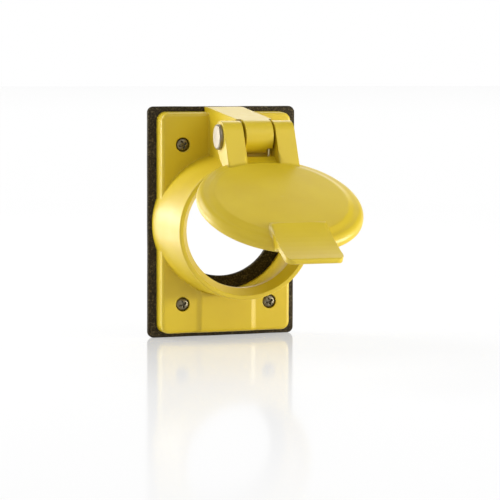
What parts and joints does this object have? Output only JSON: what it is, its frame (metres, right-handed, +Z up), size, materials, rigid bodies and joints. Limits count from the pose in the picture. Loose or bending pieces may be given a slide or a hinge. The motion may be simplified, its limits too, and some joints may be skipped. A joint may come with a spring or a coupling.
{
  "type": "self-closing weatherproof outlet cover",
  "caption": "Wall-mounted weatherproof outlet cover: plate with a deep round collar and foam gasket, closed by a sprung flap lid with a lifting tab.",
  "frame": {"origin": "centre of the round opening, on the back face of the gasket that lies on the wall", "axes": "+X to the right as one looks at the cover, +Z up the wall, -Y out of the wall towards the viewer"},
  "size_m": [0.0768, 0.1627, 0.1159],
  "materials": {
    "yellow_moulding": "soft satin thermoplastic, moulded",
    "black_foam": "closed-cell foam, matt",
    "black_rubber": "soft, matt",
    "stainless_pin": "polished stainless",
    "spring_wire": "drawn wire",
    "screw_steel": "plated, dull"
  },
  "bodies": {
    "base": {"cover_plate": "yellow_moulding", "plate_gasket": "black_foam", "torsion_spring": "spring_wire", "screw_top_left": "screw_steel", "screw_top_right": "screw_steel", "screw_bottom_left": "screw_steel", "screw_bottom_right": "screw_steel"},
    "lid": {"flap_lid": "yellow_moulding", "lid_seal": "black_rubber", "hinge_pin": "stainless_pin", "pin_push_nut": "stainless_pin"}
  },
  "joints": [
    {"name": "lid_hinge", "type": "hinge", "parent": "base", "child": "lid", "pos_m": [0, -0.0594, 0.0458], "axis": [-1, 0, 0], "range_deg": [-63.3, 51.7], "stiffness_Nm_per_rad": 0.12, "springref_deg": -91.67}
  ]
}
